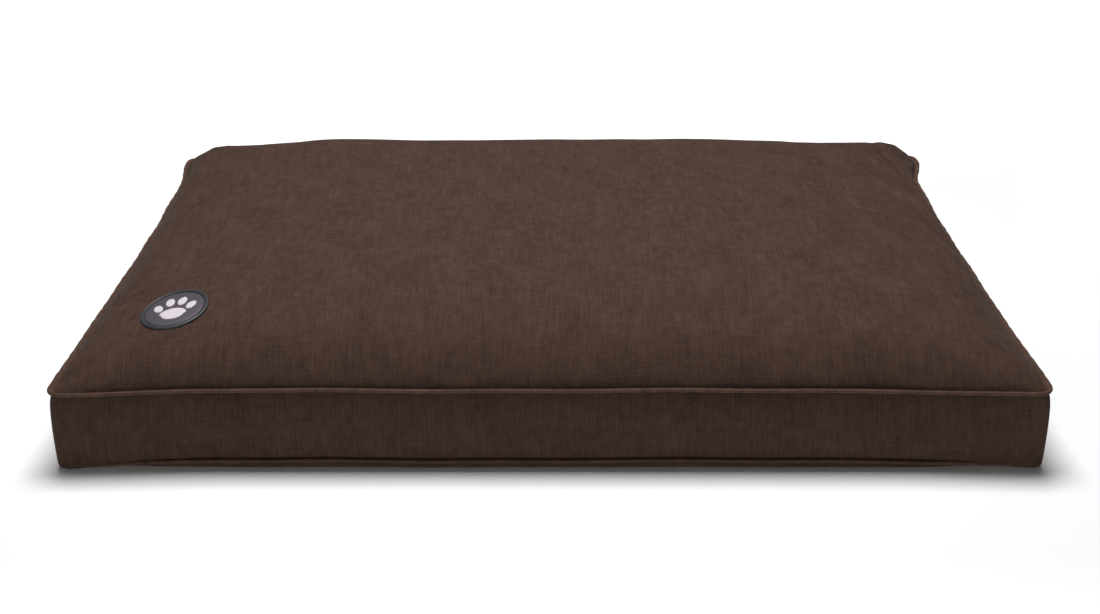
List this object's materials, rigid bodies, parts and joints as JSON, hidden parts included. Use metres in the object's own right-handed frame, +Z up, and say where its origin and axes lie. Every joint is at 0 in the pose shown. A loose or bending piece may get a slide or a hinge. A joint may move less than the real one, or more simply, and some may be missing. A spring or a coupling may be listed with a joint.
{
  "type": "pet cushion bed",
  "caption": "Flat rectangular pet cushion with a crowned top, an upright side band, corded piping round both seams, a small round badge and a zipped removable cover over a foam pad.",
  "frame": {"origin": "centre of the base on the floor, at the bottom centre of the bounding box", "axes": "+X along the long side, to the right as seen from the front; +Y from the front to the zipped back; +Z up"},
  "size_m": [0.91, 0.61, 0.14],
  "materials": {
    "cover_cloth": "linen-look plain weave, brushed, deep brown",
    "piping_cloth": "the same cloth cut on the bias",
    "piping_cord": "twisted cotton filler cord",
    "zip_tape": "woven polyester tape",
    "zip_coil": "nylon coil, satin",
    "zip_metal": "enamelled zinc, satin",
    "badge_rim": "soft moulded rubber, slate, matt",
    "badge_field": "soft moulded rubber, plum grey, matt",
    "badge_motif": "soft moulded rubber, off-white, matt",
    "badge_thread": "sewing thread, dark",
    "label_tape": "satin tape, plain",
    "liner_cloth": "thin non-woven liner",
    "foam": "open-cell foam, cut faces",
    "wadding": "polyester fibre wadding"
  },
  "bodies": {
    "cushion": {"top_panel": "cover_cloth", "base_panel": "cover_cloth", "wrap_band": "cover_cloth", "zip_band_upper": "cover_cloth", "zip_band_lower": "cover_cloth", "top_piping_cover": "piping_cloth", "base_piping_cover": "piping_cloth", "top_piping_cord": "piping_cord", "base_piping_cord": "piping_cord", "zip_tape_upper": "zip_tape", "zip_tape_lower": "zip_tape", "zip_coil_upper": "zip_coil", "zip_coil_lower": "zip_coil", "zip_top_stops": "zip_metal", "zip_bottom_stop": "zip_metal", "badge_patch": "badge_rim", "badge_field": "badge_field", "badge_paw": "badge_motif", "badge_stitches": "badge_thread", "care_label": "label_tape", "liner_top": "liner_cloth", "liner_base": "liner_cloth", "foam_core": "foam", "top_wadding": "wadding", "base_wadding": "wadding"},
    "zip_slider": {"zip_slider": "zip_metal"},
    "zip_pull": {"zip_pull": "zip_metal"}
  },
  "joints": [
    {"name": "zip_slide", "type": "slide", "parent": "cushion", "child": "zip_slider", "axis": [1, 0, 0], "range_m": [0, 0.742]},
    {"name": "pull_swing", "type": "hinge", "parent": "zip_slider", "child": "zip_pull", "pos_m": [-0.371, 0.3025, 0.048], "axis": [0, 0, 1], "range_deg": [0, 170]}
  ]
}
